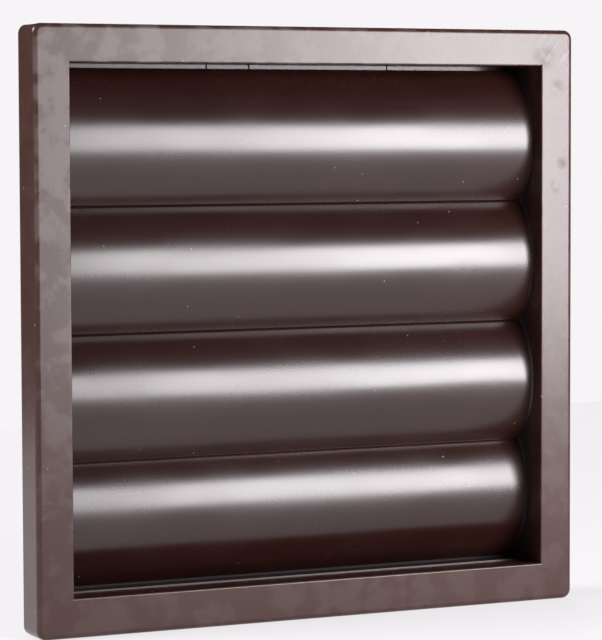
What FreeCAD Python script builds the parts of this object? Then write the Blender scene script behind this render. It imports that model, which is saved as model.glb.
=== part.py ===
import FreeCAD, Part
import os
from math import pi, radians
import Sketcher

# A gravity vent grille: a square moulded frame whose four curved flaps hang shut and blow open.
# The frame stands on its lower edge with its front towards -Y and +Z up. Every length is in
# millimetres and every angle in degrees.

DRIVING_SIZES = (
    ("bezel_width", 190.0, "outer width of the bezel"),
    ("bezel_height", 190.0, "outer height of the bezel"),
    ("bezel_depth", 13.2, "depth of the bezel's outer return, which meets the wall"),
    ("bezel_wall", 2.6, "thickness of the bezel's front plate and outer return"),
    ("bezel_corner", 3.0, "radius of the bezel's four corners"),
    ("bezel_edge", 1.6, "rounding of the bezel's front outer edge"),
    ("side_border", 11.9, "bezel from its side to the opening"),
    ("top_border", 11.9, "bezel from its top to the opening"),
    ("sill_border", 12.5, "bezel from its base to the opening"),
    ("opening_edge", 0.5, "rounding of the opening's front edge"),
    ("sill_drop", 0.5, "floor of the box below the opening's lower edge"),
    ("box_wall", 1.4, "thickness of the box's four walls"),
    ("lip_depth", 22.4, "front of the bezel to the front of the rear lip"),
    ("lip_wall", 1.4, "thickness of the rear lip"),
    ("lip_width", 4.0, "rear lip from the box's walls inwards"),
    ("slit_width", 0.5, "width of the slits through the upper lip"),
    ("first_slit", -28.0, "first slit from the middle of the frame"),
    ("second_slit", -13.0, "second slit from the middle of the frame"),
    ("third_slit", 37.0, "third slit from the middle of the frame"),
    ("rain_rib_depth", 14.4, "front of the bezel to the rain rib on the floor"),
    ("rain_rib_width", 0.8, "width of the rain rib"),
    ("rain_rib_rise", 0.3, "height of the rain rib"),
    ("web_wall", 1.4, "thickness of the webs between the box and the return"),
    ("web_recess", 3.0, "webs' rear ends in front of the bezel's rear rim"),
    ("ear_radius", 6.0, "rounding of the fixing ears"),
    ("ear_reach", 6.0, "fixing holes from the box's side walls"),
    ("fixing_radius", 2.25, "radius of the fixing holes"),
    ("hinge_depth", 18.2, "front of the bezel to the hinge axes"),
    ("hinge_drop", 3.6, "top of the opening to the uppermost hinge axis"),
    ("flap_wall", 1.2, "thickness of a flap"),
    ("flap_edge", 0.5, "rounding of a flap's lower edge"),
    ("flap_radius", 28.0, "outside of a flap's curved wall"),
    ("flap_turn", 55.2, "angle of a flap's arc above its crest"),
    ("flap_overlap", 0.8, "flap's lower edge below the next hinge axis"),
    ("floor_gap", 0.9, "lowest flap's lower edge above the floor, with the flap straight"),
    ("bead_radius", 2.3, "stiffening bead along a flap's top, flush with its outside"),
    ("flap_end_gap", 0.7, "flap's end to the box's side wall"),
    ("rest_gap", 0.3, "hanging flap to what it rests against"),
    ("pivot_radius", 1.25, "radius of the pivots moulded on a flap's ends"),
    ("pivot_clearance", 0.08, "pivot to the wall of its hole in the box"),
    ("pivot_edge", 0.4, "chamfer at a pivot's end"),
    ("boss_radius", 3.0, "bosses round the pivot holes"),
    ("boss_length", 1.2, "bosses beyond the box's side walls"),
)
FLAP_COUNT = 4
LEFT, RIGHT = -1, 1

# how near two places count as one, and the least that a cut takes away, in mm and mm3
SAME_PLACE = 1e-4
LEAST_CUT = 0.01

doc = FreeCAD.newDocument("gravity_vent_grille")
sheet = doc.addObject("Spreadsheet::Sheet", "Sizes")
for row, (alias, number, meaning) in enumerate(DRIVING_SIZES, start=1):
    sheet.set(f"A{row}", meaning)
    sheet.set(f"B{row}", str(number))
    sheet.setAlias(f"B{row}", alias)
doc.recompute()

# places that several pieces share, as expressions on the sheet
REAR = "(Sizes.lip_depth + Sizes.lip_wall)"
OPENING_WIDTH = "(Sizes.bezel_width - 2 * Sizes.side_border)"
OPENING_TOP = "(Sizes.bezel_height - Sizes.top_border)"
FLOOR = "(Sizes.sill_border - Sizes.sill_drop)"
BOX_WIDTH = f"({OPENING_WIDTH} + 2 * Sizes.box_wall)"
TOP_AXIS = f"({OPENING_TOP} - Sizes.hinge_drop)"
LOWEST_EDGE = f"({FLOOR} + Sizes.floor_gap)"
FLAP_PITCH = f"(({TOP_AXIS} - {LOWEST_EDGE} - Sizes.flap_overlap) / {FLAP_COUNT})"
FLAP_LENGTH = f"({OPENING_WIDTH} - 2 * Sizes.flap_end_gap)"
ACROSS_BOSSES = f"({BOX_WIDTH} + 2 * Sizes.boss_length)"


def hinge_height(index):
    """Height of a hinge axis above the base, counted from 0 at the top."""
    return f"({TOP_AXIS} - {index} * {FLAP_PITCH})"


def evaluate(text):
    """The present value of an expression on the sheet."""
    return float(sheet.evalExpression(text))


def new_body(label):
    body = doc.addObject("PartDesign::Body", label)
    body.Label = label
    return body


def origin_plane(body, role):
    return next(plane for plane in body.Origin.OriginFeatures if plane.Role == role)


def new_sketch(body, name, role, offset="0"):
    """A sketch on one of the body's origin planes, moved along the plane's normal."""
    sketch = body.newObject("Sketcher::SketchObject", name)
    sketch.AttachmentSupport = [(origin_plane(body, role), "")]
    sketch.MapMode = "FlatFace"
    sketch.setExpression("AttachmentOffset.Base.z", offset)
    return sketch


def drive(sketch, name, text, kind, *where):
    """Adds a dimension to the sketch and ties it to an expression."""
    index = sketch.addConstraint(Sketcher.Constraint(kind, *where, evaluate(text)))
    sketch.renameConstraint(index, name)
    sketch.setExpression(f"Constraints.{name}", text)


def add_rectangle(sketch, name, left, right, low, high):
    """An upright rectangle whose sides lie at four driven distances from the sketch's origin."""
    x0, x1, z0, z1 = (evaluate(text) for text in (left, right, low, high))
    corners = [FreeCAD.Vector(x, z) for x, z in ((x0, z0), (x1, z0), (x1, z1), (x0, z1))]
    first = sketch.GeometryCount
    for start, end in zip(corners, corners[1:] + corners[:1]):
        sketch.addGeometry(Part.LineSegment(start, end), False)
    base, side, top, other = range(first, first + 4)
    for line, following in ((base, side), (side, top), (top, other), (other, base)):
        sketch.addConstraint(Sketcher.Constraint("Coincident", line, 2, following, 1))
    for line in (base, top):
        sketch.addConstraint(Sketcher.Constraint("Horizontal", line))
    for line in (side, other):
        sketch.addConstraint(Sketcher.Constraint("Vertical", line))
    drive(sketch, f"{name}_left", left, "DistanceX", -1, 1, base, 1)
    drive(sketch, f"{name}_right", right, "DistanceX", -1, 1, top, 1)
    if low == "0":
        sketch.addConstraint(Sketcher.Constraint("PointOnObject", base, 1, -1))
    else:
        drive(sketch, f"{name}_low", low, "DistanceY", -1, 1, base, 1)
    drive(sketch, f"{name}_high", high, "DistanceY", -1, 1, top, 1)


def add_circle(sketch, name, across, up, radius):
    """A circle with a driven centre and radius."""
    centre = FreeCAD.Vector(evaluate(across), evaluate(up))
    axis = FreeCAD.Vector(0, 0, 1)
    circle = sketch.addGeometry(Part.Circle(centre, axis, evaluate(radius)), False)
    if across == "0" and up == "0":
        sketch.addConstraint(Sketcher.Constraint("Coincident", circle, 3, -1, 1))
    else:
        drive(sketch, f"{name}_across", across, "DistanceX", -1, 1, circle, 3)
        drive(sketch, f"{name}_up", up, "DistanceY", -1, 1, circle, 3)
    drive(sketch, f"{name}_radius", radius, "Radius", circle)


def pad(body, sketch, name, length, reverse=False, both_ways=False):
    feature = body.newObject("PartDesign::Pad", name)
    feature.Profile = sketch
    feature.setExpression("Length", length)
    feature.Reversed = reverse
    feature.Midplane = both_ways
    doc.recompute()
    return feature


def pocket(body, sketch, name, length, reverse=False, both_ways=False):
    """A pocket, which has to take something away from its body."""
    before = body.Shape.Volume
    feature = body.newObject("PartDesign::Pocket", name)
    feature.Profile = sketch
    feature.setExpression("Length", length)
    feature.Reversed = reverse
    feature.Midplane = both_ways
    doc.recompute()
    if body.Shape.Volume > before - LEAST_CUT:
        raise RuntimeError(f"{name} cuts nothing")
    return feature


def dress(body, kind, name, base, chosen, size_name, size):
    """A fillet or chamfer on the edges of the base feature that the test chooses."""
    edges = [f"Edge{n}" for n, edge in enumerate(base.Shape.Edges, start=1) if chosen(edge)]
    feature = body.newObject(f"PartDesign::{kind}", name)
    feature.Base = (base, edges)
    feature.setExpression(size_name, size)
    doc.recompute()
    return feature


def lies_between(edge, axis, low, high):
    """Whether the whole edge lies between two places along an axis."""
    start, end = getattr(edge.BoundBox, f"{axis}Min"), getattr(edge.BoundBox, f"{axis}Max")
    return start > low - SAME_PLACE and end < high + SAME_PLACE


def spans(edge, axis, length):
    """Whether the edge is that long along an axis."""
    return abs(getattr(edge.BoundBox, f"{axis}Length") - length) < SAME_PLACE


def make_frame():
    """The frame is one moulding: a hollow bezel, the box that holds the flaps, and its rear lip."""
    body = new_body("frame")
    half_bezel = "Sizes.bezel_width / 2"
    half_opening = f"{OPENING_WIDTH} / 2"
    half_box = f"{BOX_WIDTH} / 2"

    # bezel: a block with rounded corners and front edge, hollowed from behind
    sketch = new_sketch(body, "bezel_outline", "XZ_Plane")
    add_rectangle(sketch, "outline", f"-{half_bezel}", half_bezel, "0", "Sizes.bezel_height")
    block = pad(body, sketch, "bezel_block", "Sizes.bezel_depth", reverse=True)
    depth = evaluate("Sizes.bezel_depth")
    corners = dress(body, "Fillet", "bezel_corners", block,
                    lambda edge: spans(edge, "Y", depth), "Radius", "Sizes.bezel_corner")
    dress(body, "Fillet", "bezel_front_edge", corners,
          lambda edge: lies_between(edge, "Y", 0, 0), "Radius", "Sizes.bezel_edge")
    sketch = new_sketch(body, "hollow_outline", "XZ_Plane", "-Sizes.bezel_depth")
    add_rectangle(sketch, "hollow", f"-{half_bezel} + Sizes.bezel_wall",
                  f"{half_bezel} - Sizes.bezel_wall", "Sizes.bezel_wall",
                  "Sizes.bezel_height - Sizes.bezel_wall")
    pocket(body, sketch, "bezel_hollow", "Sizes.bezel_depth - Sizes.bezel_wall", reverse=True)

    # box: four walls from the front plate back to the lip
    sketch = new_sketch(body, "box_outline", "XZ_Plane", "-Sizes.bezel_wall")
    add_rectangle(sketch, "outside", f"-{half_box}", half_box,
                  f"{FLOOR} - Sizes.box_wall", f"{OPENING_TOP} + Sizes.box_wall")
    add_rectangle(sketch, "inside", f"-{half_opening}", half_opening, FLOOR, OPENING_TOP)
    pad(body, sketch, "box_walls", "Sizes.lip_depth - Sizes.bezel_wall", reverse=True)

    # opening through the front plate, its edge slightly rounded
    sketch = new_sketch(body, "opening_outline", "XZ_Plane")
    add_rectangle(sketch, "opening", f"-{half_opening}", half_opening,
                  "Sizes.sill_border", OPENING_TOP)
    opening = pocket(body, sketch, "opening", "Sizes.bezel_wall")
    side, sill, top = (evaluate(text) for text in (half_opening, "Sizes.sill_border", OPENING_TOP))
    dress(body, "Fillet", "opening_front_edge", opening,
          lambda edge: lies_between(edge, "Y", 0, 0) and lies_between(edge, "X", -side, side)
          and lies_between(edge, "Z", sill, top), "Radius", "Sizes.opening_edge")

    # rear lip, which stops the lowest flap and carries the fixing ears
    sketch = new_sketch(body, "lip_outline", "XZ_Plane", "-Sizes.lip_depth")
    add_rectangle(sketch, "outside", f"-{half_box}", half_box,
                  f"{FLOOR} - Sizes.box_wall", f"{OPENING_TOP} + Sizes.box_wall")
    add_rectangle(sketch, "inside", f"-{half_opening} + Sizes.lip_width",
                  f"{half_opening} - Sizes.lip_width", f"{FLOOR} + Sizes.lip_width",
                  f"{OPENING_TOP} - Sizes.lip_width")
    pad(body, sketch, "rear_lip", "Sizes.lip_wall", reverse=True)

    # slits through the upper lip, two of which leave a tongue between them
    sketch = new_sketch(body, "slit_outlines", "XZ_Plane", "-Sizes.lip_depth")
    for name in ("first_slit", "second_slit", "third_slit"):
        add_rectangle(sketch, name, f"Sizes.{name} - Sizes.slit_width / 2",
                      f"Sizes.{name} + Sizes.slit_width / 2", f"{OPENING_TOP} - Sizes.lip_width",
                      OPENING_TOP)
    pocket(body, sketch, "lip_slits", "Sizes.lip_wall")

    # fixing ears on the lip's sides, half way between two hinges, each with a screw hole
    sketch = new_sketch(body, "ear_outlines", "XZ_Plane", "-Sizes.lip_depth")
    for name, side, height in fixing_places():
        wall = f"{side} * {half_opening}"
        hole = f"{side} * ({half_opening} - Sizes.ear_reach)"
        near, far = (wall, hole) if side == LEFT else (hole, wall)
        add_rectangle(sketch, name, near, far, f"{height} - Sizes.ear_radius",
                      f"{height} + Sizes.ear_radius")
    pad(body, sketch, "ears", "Sizes.lip_wall", reverse=True)
    sketch = new_sketch(body, "ear_end_outlines", "XZ_Plane", "-Sizes.lip_depth")
    for name, side, height in fixing_places():
        hole = f"{side} * ({half_opening} - Sizes.ear_reach)"
        add_circle(sketch, name, hole, height, "Sizes.ear_radius")
    pad(body, sketch, "ear_ends", "Sizes.lip_wall", reverse=True)
    sketch = new_sketch(body, "fixing_circles", "XZ_Plane", "-Sizes.lip_depth")
    for name, side, height in fixing_places():
        hole = f"{side} * ({half_opening} - Sizes.ear_reach)"
        add_circle(sketch, name, hole, height, "Sizes.fixing_radius")
    pocket(body, sketch, "fixing_holes", "Sizes.lip_wall")

    # webs that tie the box to the bezel's return
    sketch = new_sketch(body, "web_outlines", "XZ_Plane", "-Sizes.bezel_wall")
    web_length = "Sizes.bezel_depth - Sizes.bezel_wall - Sizes.web_recess"
    for third in (1, 2):
        middle = f"Sizes.bezel_height * {third} / 3"
        low, high = f"{middle} - Sizes.web_wall / 2", f"{middle} + Sizes.web_wall / 2"
        add_rectangle(sketch, f"left_{third}", f"-{half_bezel} + Sizes.bezel_wall",
                      f"-{half_box}", low, high)
        add_rectangle(sketch, f"right_{third}", half_box, f"{half_bezel} - Sizes.bezel_wall",
                      low, high)
        middle = f"Sizes.bezel_width * ({third} / 3 - 1 / 2)"
        near, far = f"{middle} - Sizes.web_wall / 2", f"{middle} + Sizes.web_wall / 2"
        add_rectangle(sketch, f"base_{third}", near, far, "Sizes.bezel_wall",
                      f"{FLOOR} - Sizes.box_wall")
        add_rectangle(sketch, f"top_{third}", near, far, f"{OPENING_TOP} + Sizes.box_wall",
                      "Sizes.bezel_height - Sizes.bezel_wall")
    pad(body, sketch, "webs", web_length, reverse=True)

    # low rib across the floor, which keeps driven rain in front of the lowest flap
    sketch = new_sketch(body, "rain_rib_outline", "XZ_Plane", "-Sizes.rain_rib_depth")
    add_rectangle(sketch, "rib", f"-{half_opening}", half_opening, FLOOR,
                  f"{FLOOR} + Sizes.rain_rib_rise")
    pad(body, sketch, "rain_rib", "Sizes.rain_rib_width", reverse=True)

    # bosses outside the box's side walls, and the pivot holes through them
    sketch = new_sketch(body, "boss_circles", "YZ_Plane", half_box)
    for index in range(FLAP_COUNT):
        add_circle(sketch, f"boss_{index + 1}", "Sizes.hinge_depth", hinge_height(index),
                   "Sizes.boss_radius")
    bosses = pad(body, sketch, "pivot_bosses", "Sizes.boss_length")
    mirror = body.newObject("PartDesign::Mirrored", "opposite_bosses")
    mirror.Originals = [bosses]
    mirror.MirrorPlane = (origin_plane(body, "YZ_Plane"), [""])
    body.Tip = mirror
    doc.recompute()
    sketch = new_sketch(body, "pivot_hole_circles", "YZ_Plane")
    for index in range(FLAP_COUNT):
        add_circle(sketch, f"hole_{index + 1}", "Sizes.hinge_depth", hinge_height(index),
                   "Sizes.pivot_radius + Sizes.pivot_clearance")
    pocket(body, sketch, "pivot_holes", ACROSS_BOSSES, both_ways=True)
    return body


def fixing_places():
    """Name, side and height of each fixing hole."""
    upper = f"({hinge_height(0)} - {FLAP_PITCH} / 2)"
    lower = f"({hinge_height(FLAP_COUNT - 1)} - {FLAP_PITCH} / 2)"
    for level, height in (("upper", upper), ("lower", lower)):
        yield f"{level}_left", LEFT, height
        yield f"{level}_right", RIGHT, height


# a flap's arc, seen from its end with the hinge axis, which is the bead's, at the origin
ARC_REACH = "(Sizes.flap_radius - Sizes.bead_radius)"
CREST_DROP = f"({ARC_REACH} * sin(Sizes.flap_turn))"
CENTRE_BACK = f"({ARC_REACH} * cos(Sizes.flap_turn))"
INSIDE = "(Sizes.flap_radius - Sizes.flap_wall)"
EDGE_DROP = f"({FLAP_PITCH} + Sizes.flap_overlap)"
LOWER_TURN = f"asin(({EDGE_DROP} - {CREST_DROP}) / Sizes.flap_radius)"

# the inner corner of the flap's lower edge: where it lies, how far out, and how far forward
HEEL_BACK = f"({CENTRE_BACK} - {INSIDE} * cos({LOWER_TURN}))"
HEEL_DROP = f"({CREST_DROP} + {INSIDE} * sin({LOWER_TURN}))"
HEEL_REACH = f"sqrt({HEEL_BACK} ^ 2 + {HEEL_DROP} ^ 2)"
HEEL_LEAD = f"asin(-{HEEL_BACK} / {HEEL_REACH})"

# the lowest flap rests its heel on the rear lip
LIP_ROOM = "(Sizes.lip_depth - Sizes.rest_gap - Sizes.hinge_depth)"
LAG_ON_LIP = f"asin({LIP_ROOM} / {HEEL_REACH})"


def lead_on_next(turn):
    """How far forward a heel rests on the outside of the next flap, itself turned back so far."""
    back = f"({CENTRE_BACK} * cos({turn}) + {CREST_DROP} * sin({turn}))"
    drop = f"({FLAP_PITCH} - {CENTRE_BACK} * sin({turn}) + {CREST_DROP} * cos({turn}))"
    reach = f"sqrt({back} ^ 2 + {drop} ^ 2)"
    rest = "(Sizes.flap_radius + Sizes.rest_gap)"
    return (f"(acos(({HEEL_REACH} ^ 2 + {reach} ^ 2 - {rest} ^ 2) / (2 * {HEEL_REACH} * {reach}))"
            f" - atan({back} / {drop}))")


def make_flap(index):
    """A flap is one moulding: a curved wall, a bead along its top, and a pivot at each end."""
    body = new_body(f"flap_{index + 1}")
    sketch = new_sketch(body, f"wall_outline_{index + 1}", "YZ_Plane")
    outside, inside, bead_radius = (evaluate(text) for text in
                                    ("Sizes.flap_radius", INSIDE, "Sizes.bead_radius"))
    centre = FreeCAD.Vector(evaluate(CENTRE_BACK), -evaluate(CREST_DROP))
    hinge, axis = FreeCAD.Vector(0, 0, 0), FreeCAD.Vector(0, 0, 1)
    top_angle = pi - radians(evaluate("Sizes.flap_turn"))
    edge_angle = pi + radians(evaluate(LOWER_TURN))
    bead_circle = Part.Circle(hinge, axis, bead_radius)
    inner_circle = Part.Circle(centre, axis, inside)
    meeting = min(bead_circle.intersect(inner_circle), key=lambda point: point.X)
    inner_top = inner_circle.parameter(FreeCAD.Vector(meeting.X, meeting.Y, 0))
    bead_start = bead_circle.parameter(FreeCAD.Vector(meeting.X, meeting.Y, 0)) - 2 * pi

    def add_arc(circle, start, end):
        return sketch.addGeometry(Part.ArcOfCircle(circle, start, end), False)

    outer = add_arc(Part.Circle(centre, axis, outside), top_angle, edge_angle)
    inner = add_arc(inner_circle, inner_top, edge_angle)
    bead = add_arc(bead_circle, bead_start, top_angle)
    edge = sketch.addGeometry(
        Part.LineSegment(sketch.getPoint(outer, 2), sketch.getPoint(inner, 2)), False)
    sketch.addConstraint([
        Sketcher.Constraint("Coincident", edge, 1, outer, 2),
        Sketcher.Constraint("Coincident", edge, 2, inner, 2),
        Sketcher.Constraint("Coincident", bead, 1, inner, 1),
        Sketcher.Constraint("Tangent", bead, 2, outer, 1),
        Sketcher.Constraint("Coincident", outer, 3, inner, 3),
        Sketcher.Constraint("Coincident", bead, 3, -1, 1),
        Sketcher.Constraint("PointOnObject", outer, 3, edge),
    ])
    drive(sketch, "bead", "Sizes.bead_radius", "Radius", bead)
    drive(sketch, "outside", "Sizes.flap_radius", "Radius", outer)
    drive(sketch, "inside", INSIDE, "Radius", inner)
    drive(sketch, "centre_back", CENTRE_BACK, "DistanceX", -1, 1, outer, 3)
    drive(sketch, "edge_drop", f"-{EDGE_DROP}", "DistanceY", -1, 1, outer, 2)
    wall = pad(body, sketch, f"wall_{index + 1}", FLAP_LENGTH, both_ways=True)
    length, heel_drop, edge_drop = (evaluate(text) for text in (FLAP_LENGTH, HEEL_DROP, EDGE_DROP))
    dress(body, "Fillet", f"lower_edge_{index + 1}", wall,
          lambda line: spans(line, "X", length) and lies_between(line, "Z", -edge_drop, -heel_drop),
          "Radius", "Sizes.flap_edge")
    sketch = new_sketch(body, f"pivot_circle_{index + 1}", "YZ_Plane")
    add_circle(sketch, "pivot", "0", "0", "Sizes.pivot_radius")
    pivots = pad(body, sketch, f"pivots_{index + 1}", ACROSS_BOSSES, both_ways=True)
    tip = evaluate(ACROSS_BOSSES) / 2
    dress(body, "Chamfer", f"pivot_ends_{index + 1}", pivots,
          lambda edge: lies_between(edge, "X", tip, tip) or lies_between(edge, "X", -tip, -tip),
          "Size", "Sizes.pivot_edge")
    return body


def hang(flap, index):
    """Places a flap at its hinge axis, turned from its straight position to where it rests."""
    if index == FLAP_COUNT - 1:
        turn = f"{HEEL_LEAD} + {LAG_ON_LIP}"
    else:
        turn = f"{HEEL_LEAD} - {lead_on_next(f'flap_{index + 2}.Placement.Rotation.Angle')}"
    flap.setExpression("Placement.Base.y", f"Sizes.hinge_depth - {REAR} / 2")
    flap.setExpression("Placement.Base.z", hinge_height(index))
    # the angle's expression needs a rotation that already has an axis
    flap.Placement.Rotation = FreeCAD.Rotation(FreeCAD.Vector(1, 0, 0), 1)
    flap.setExpression("Placement.Rotation.Angle", turn)
    doc.recompute()


frame = make_frame()
frame.setExpression("Placement.Base.y", f"-{REAR} / 2")
flaps = [make_flap(index) for index in range(FLAP_COUNT)]
for index in reversed(range(FLAP_COUNT)):
    hang(flaps[index], index)
pieces = [frame, *flaps]
doc.recompute()

for thing in doc.Objects:
    bad = [state for state in thing.State if state in ("Invalid", "Error")]
    if bad:
        raise RuntimeError(f"{thing.Name} is {bad}")
for piece in pieces:
    if piece.Shape.isNull() or not piece.Shape.isValid() or len(piece.Shape.Solids) != 1:
        raise RuntimeError(f"{piece.Label} isn't one sound solid")

os.makedirs("parts", exist_ok=True)
for piece in pieces:
    piece.Shape.exportStep(f"parts/{piece.Label}.step")
    box = piece.Shape.BoundBox
    print(f"{piece.Label}: volume {piece.Shape.Volume:.0f} mm3, turn {piece.Placement.Rotation.Angle}, "
          f"Y {box.YMin:.2f} to {box.YMax:.2f}, Z {box.ZMin:.2f} to {box.ZMax:.2f}")
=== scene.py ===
import bpy
from math import radians
from mathutils import Matrix, Vector

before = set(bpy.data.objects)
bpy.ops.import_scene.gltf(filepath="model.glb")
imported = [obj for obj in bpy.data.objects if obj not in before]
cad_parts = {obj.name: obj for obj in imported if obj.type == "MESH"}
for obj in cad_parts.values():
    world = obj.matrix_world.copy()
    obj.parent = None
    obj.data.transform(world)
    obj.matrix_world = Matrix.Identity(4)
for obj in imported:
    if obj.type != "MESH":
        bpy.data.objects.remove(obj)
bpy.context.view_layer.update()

# The frame is one moulding in dark brown plastic: the deep bezel, the box that the flaps hang in
# and the rear lip. Handling has dulled its satin face with a film, finger marks and scratches.
# Shade is painted near black at the foot of the lip and on the side walls beside the flaps.
FRAME_BROWN = (0.050, 0.019, 0.014, 1.0)
DUSTY_BROWN = (0.13, 0.095, 0.09, 1.0)
DUST_GREY = (0.42, 0.39, 0.37, 1.0)
# The colour of the painted shade at the foot of the lip and on the side walls beside the flaps.
PAINTED_SHADE_BLACK = (0.006, 0.004, 0.0035, 1.0)
FRAME_IOR = 1.48
FACE, SIDE_WALL = -0.0119, 0.0831
FILM_CENTRE, FILM_REACH = (-0.083, FACE, 0.180), 0.17
SCRATCHED, SCRATCH_REACH, SCRATCH_SLOPE = (0.088, FACE, 0.184), 0.016, radians(38)
FINGER_MARKS = (((0.084, FACE, 0.181), 0.006), ((0.089, FACE, 0.171), 0.004),
                ((0.091, FACE, 0.146), 0.003), ((0.088, FACE, 0.138), 0.003))
GRAIN_DEPTH = 0.00002


class Paint:
    """A socket of a material's nodes. An expression on such values adds its Math nodes."""

    def __init__(self, tree, socket=None):
        self.tree = tree
        self.socket = socket

    def node(self, kind, settings, sockets, output=0):
        """Adds any other node: its settings first, then the values or links of its sockets."""
        made = self.tree.nodes.new(kind)
        for name, setting in settings.items():
            setattr(made, name, setting)
        for name, given in sockets.items():
            if isinstance(given, Paint):
                self.tree.links.new(given.socket, made.inputs[name])
            else:
                made.inputs[name].default_value = given
        return Paint(self.tree, made.outputs[output])

    def maths(self, operation, *values):
        """Adds a Math node with this operation on the values."""
        return self.node("ShaderNodeMath", {"operation": operation}, dict(enumerate(values)))

    def __add__(self, other):
        return self.maths("ADD", self, other)

    def __sub__(self, other):
        return self.maths("SUBTRACT", self, other)

    def __rsub__(self, other):
        return self.maths("SUBTRACT", other, self)

    def __mul__(self, other):
        return self.maths("MULTIPLY", self, other)

    __radd__ = __add__
    __rmul__ = __mul__

    def step(self, low, high):
        """Rises smoothly from 0 to 1 as the value goes from low to high."""
        return self.node("ShaderNodeMapRange", {"interpolation_type": "SMOOTHSTEP"},
                         {"Value": self, "From Min": low, "From Max": high})

    def mixed(self, first, second):
        """A colour between two others, with this value as the share of the second."""
        return self.node("ShaderNodeMix", {"data_type": "RGBA"}, {0: self, 6: first, 7: second}, 2)

    def along(self, axis):
        """How far this place lies along X, Y or Z, in metres."""
        return self.node("ShaderNodeSeparateXYZ", {}, {"Vector": self}, axis)

    def near(self, spot, reach):
        """1 at the spot, falling to 0 at this reach from it in metres."""
        gap = self.node("ShaderNodeVectorMath", {"operation": "DISTANCE"}, {0: self, 1: spot},
                        "Value")
        return 1 - gap.step(0, reach)

    def noise(self, size, detail, stretch=(1, 1, 1), turn=(0, 0, 0)):
        """Cloudy grey patches of about this size in metres, turned and then stretched."""
        laid = self.node("ShaderNodeMapping", {"vector_type": "TEXTURE"},
                         {"Vector": self, "Rotation": turn, "Scale": [size * s for s in stretch]})
        return self.node("ShaderNodeTexNoise", {},
                         {"Vector": laid, "Scale": 1.0, "Detail": detail})

    def specks(self, spacing, radius):
        """Round specks of dust, strewn at about this spacing."""
        gap = self.node("ShaderNodeTexVoronoi", {}, {"Vector": self, "Scale": 1 / spacing},
                        "Distance")
        return 1 - gap.step(0.6 * radius / spacing, radius / spacing)


def new_plastic(name, ior):
    """A plastic of this index of refraction, its shader, and the place that patterns follow."""
    material = bpy.data.materials.new(name)
    material.use_nodes = True
    shader = material.node_tree.nodes["Principled BSDF"]
    shader.inputs["IOR"].default_value = ior
    place = Paint(material.node_tree).node("ShaderNodeTexCoord", {}, {}, "Object")
    return material, shader, place


def wire(shader, brown, roughness, relief, relief_depth):
    """Links a finish to the shader: its colour, its roughness and its relief."""
    bump = relief.node("ShaderNodeBump", {},
                       {"Height": relief, "Strength": 1.0, "Distance": relief_depth})
    for name, value in (("Base Color", brown), ("Roughness", roughness), ("Normal", bump)):
        value.tree.links.new(value.socket, shader.inputs[name])


frame_plastic, frame_shader, place = new_plastic("frame_plastic", FRAME_IOR)
across = place.maths("ABSOLUTE", place.along("X"))
depth, height = place.along("Y"), place.along("Z")

on_face = 1 - depth.step(FACE + 0.0002, FACE + 0.0011)
film = on_face * place.near(FILM_CENTRE, FILM_REACH)
clouds = place.noise(0.008, detail=4).step(0.45, 0.6)
haze = clouds * (0.1 + 0.1 * on_face + 0.8 * film)
finger_marks = (sum(place.near(spot, reach) for spot, reach in FINGER_MARKS)
                * place.noise(0.004, detail=3).step(0.35, 0.6))
scratches = (place.noise(0.0009, detail=1, stretch=(1, 1, 12), turn=(0, SCRATCH_SLOPE, 0))
             .step(0.6, 0.66) * place.near(SCRATCHED, SCRATCH_REACH))
dust = place.specks(0.0065, 0.00028)
grain = place.noise(0.0006, detail=3)
# Painted shade: the foot of the lip and the side walls beside the flaps, where shade falls, are
# painted near black and made rougher.
lip_foot_shade = (height.step(0.0110, 0.0118) * (1 - height.step(0.0145, 0.018))
            * depth.step(0.003, 0.006))
side_wall_shade = (across.step(SIDE_WALL - 0.0005, SIDE_WALL - 0.0001)
                * (1 - across.step(SIDE_WALL + 0.0002, SIDE_WALL + 0.0007))
                * depth.step(-0.006, -0.002))
painted_shade = place.maths("MAXIMUM", lip_foot_shade, 0.9 * side_wall_shade)

brown = (0.8 * haze + 0.6 * scratches).mixed(FRAME_BROWN, DUSTY_BROWN)
brown = (0.8 * dust).mixed(brown, DUST_GREY)
# Painted shade: near black over the lip foot and the side walls beside the flaps.
brown = (0.9 * painted_shade).mixed(brown, PAINTED_SHADE_BLACK)
roughness = (0.24 + 0.13 * film + 0.03 * haze + 0.12 * finger_marks + 0.04 * grain
             + 0.4 * dust + 0.5 * painted_shade)
wire(frame_shader, brown, roughness, grain - 0.6 * scratches, GRAIN_DEPTH)
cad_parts["frame"].material_slots[0].material = frame_plastic

# The four flaps are moulded in the same brown plastic, but in a polished mould, so each crest
# carries one long soft highlight. The wall is a little wavy along its length, as thin mouldings
# are, and dust lies on it.
FLAP_BROWN = (0.021, 0.0060, 0.0046, 1.0)
FILMED_BROWN = (0.027, 0.0085, 0.0068, 1.0)
FLAP_IOR = 1.6
WAVE_DEPTH = 0.0004

flap_plastic, flap_shader, place = new_plastic("flap_plastic", FLAP_IOR)
film = place.noise(0.016, detail=1, stretch=(2, 1, 1)).step(0.3, 0.7)
grain = place.noise(0.0007, detail=2)
waves = place.noise(0.03, detail=0, stretch=(1.6, 1, 1))
dust = place.specks(0.0075, 0.00025)

brown = (0.5 * film).mixed(FLAP_BROWN, FILMED_BROWN)
brown = (0.7 * dust).mixed(brown, DUST_GREY)
roughness = 0.22 + 0.05 * film + 0.03 * grain + 0.4 * dust
wire(flap_shader, brown, roughness, waves, WAVE_DEPTH)
for name in ("flap_1", "flap_2", "flap_3", "flap_4"):
    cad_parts[name].material_slots[0].material = flap_plastic

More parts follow.
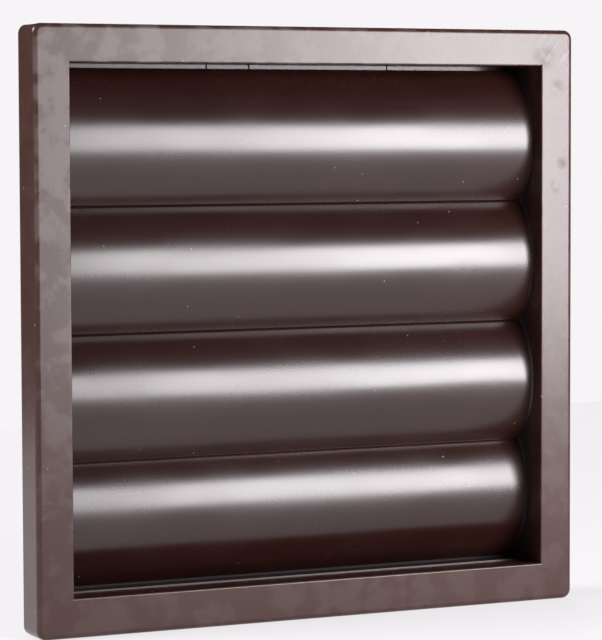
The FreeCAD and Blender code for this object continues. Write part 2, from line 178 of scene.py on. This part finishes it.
# The floor is a plain white board, which bounces light up at the undersides of the flaps. It
# isn't part of the object. To the camera and in the gloss it is mostly plain white, and the
# object's shadow stays on it.
FLOOR_SIZE, FLOOR_MIDDLE = (2.4, 1.6, 1, 1), (0, -0.2, 0)
BOARD_WHITE, GLOW_WHITE, GLOW_SHARE = (0.86, 0.84, 0.86, 1), (0.985, 0.96, 0.99, 1), 0.7

bpy.ops.object.select_all(action="DESELECT")
bpy.ops.mesh.primitive_plane_add(size=1, location=(0, 0, 0))
floor = bpy.context.object
floor.name = "floor"
floor.data.transform(Matrix.Translation(FLOOR_MIDDLE) @ Matrix.Diagonal(FLOOR_SIZE))

white_board = bpy.data.materials.new("white_board")
white_board.use_nodes = True
board_shader = white_board.node_tree.nodes["Principled BSDF"]
board_shader.inputs["Base Color"].default_value = BOARD_WHITE
board_shader.inputs["Roughness"].default_value = 0.8
board = Paint(white_board.node_tree, board_shader.outputs[0])
to_camera = board.node("ShaderNodeLightPath", {}, {}, "Is Camera Ray")
to_gloss = board.node("ShaderNodeLightPath", {}, {}, "Is Glossy Ray")
glow = board.node("ShaderNodeEmission", {}, {"Color": GLOW_WHITE, "Strength": 1.0})
shown = board.node("ShaderNodeMixShader", {},
                   {0: GLOW_SHARE * (to_camera + to_gloss), 1: board, 2: glow})
board.tree.links.new(shown.socket, board.tree.nodes["Material Output"].inputs["Surface"])
floor.data.materials.append(white_board)

# The background is a plain white to the camera. To the plastic it is a dim room, in which the
# upper parts of the flaps stay dark.
BACKGROUND_WHITE, ROOM_STRENGTH = (0.925, 0.905, 0.93, 1), 0.08

world = bpy.data.worlds.new("room")
world.use_nodes = True
room = Paint(world.node_tree)
to_camera = room.node("ShaderNodeLightPath", {}, {}, "Is Camera Ray")
dim = room.node("ShaderNodeBackground", {}, {"Color": (1, 1, 1, 1), "Strength": ROOM_STRENGTH})
white = room.node("ShaderNodeBackground", {}, {"Color": BACKGROUND_WHITE, "Strength": 1.0})
shown = room.node("ShaderNodeMixShader", {}, {0: to_camera, 1: dim, 2: white})
room.tree.links.new(shown.socket, room.tree.nodes["World Output"].inputs["Surface"])
bpy.context.scene.world = world

# The studio lamps are softboxes. Two stand side by side in front, the brighter one on the right:
# the face and the crests of the flaps mirror them. One lights the left side, and one the back.
LAMP_WHITE = (0.99, 0.965, 1.0)
KEY_DISTANCE, KEY_HEIGHT, KEY_TALL = -0.57, 0.205, 0.33


def add_softbox(name, centre, target, size, power):
    """A rectangular lamp that faces the target."""
    lamp = bpy.data.lights.new(name, "AREA")
    lamp.shape = "RECTANGLE"
    lamp.size, lamp.size_y = size
    lamp.energy = power
    lamp.color = LAMP_WHITE
    holder = bpy.data.objects.new(name, lamp)
    holder.location = centre
    holder.rotation_euler = (Vector(target) - Vector(centre)).to_track_quat("-Z", "Y").to_euler()
    bpy.context.scene.collection.objects.link(holder)


for name, middle, width, power in (("key", 0.395, 0.21, 4.6), ("key_side", 0.205, 0.17, 2.35)):
    add_softbox(name, (middle, KEY_DISTANCE, KEY_HEIGHT), (middle, 0, KEY_HEIGHT),
                (width, KEY_TALL), power)
add_softbox("back", (0.4, 0.9, 0.55), (0, 0, 0.1), (0.5, 0.5), 2.5)
add_softbox("side", (-1.0, 0.2, 0.72), (0, 0, 0), (0.5, 0.4), 16.0)

# The camera stands in front and to the left, a little above the grille's middle, with a long
# lens, as in the photograph.
CAMERA_PLACE = (-0.3944, -0.8367, 0.1545)
YAW, PITCH, ROLL = radians(25.26), radians(3.63), radians(-0.21)
FOCAL_PIXELS, IMAGE_HEIGHT, SENSOR = 2863, 640, 36.0

camera = bpy.data.objects.new("camera", bpy.data.cameras.new("camera"))
bpy.context.scene.collection.objects.link(camera)
camera.data.sensor_width = SENSOR
camera.data.lens = FOCAL_PIXELS * SENSOR / IMAGE_HEIGHT
camera.data.clip_start = 0.01
turn = (Matrix.Rotation(-YAW, 4, "Z") @ Matrix.Rotation(radians(90) - PITCH, 4, "X")
        @ Matrix.Rotation(ROLL, 4, "Z"))
camera.matrix_world = Matrix.Translation(CAMERA_PLACE) @ turn
bpy.context.scene.camera = camera
bpy.context.scene.view_settings.view_transform = "Standard"
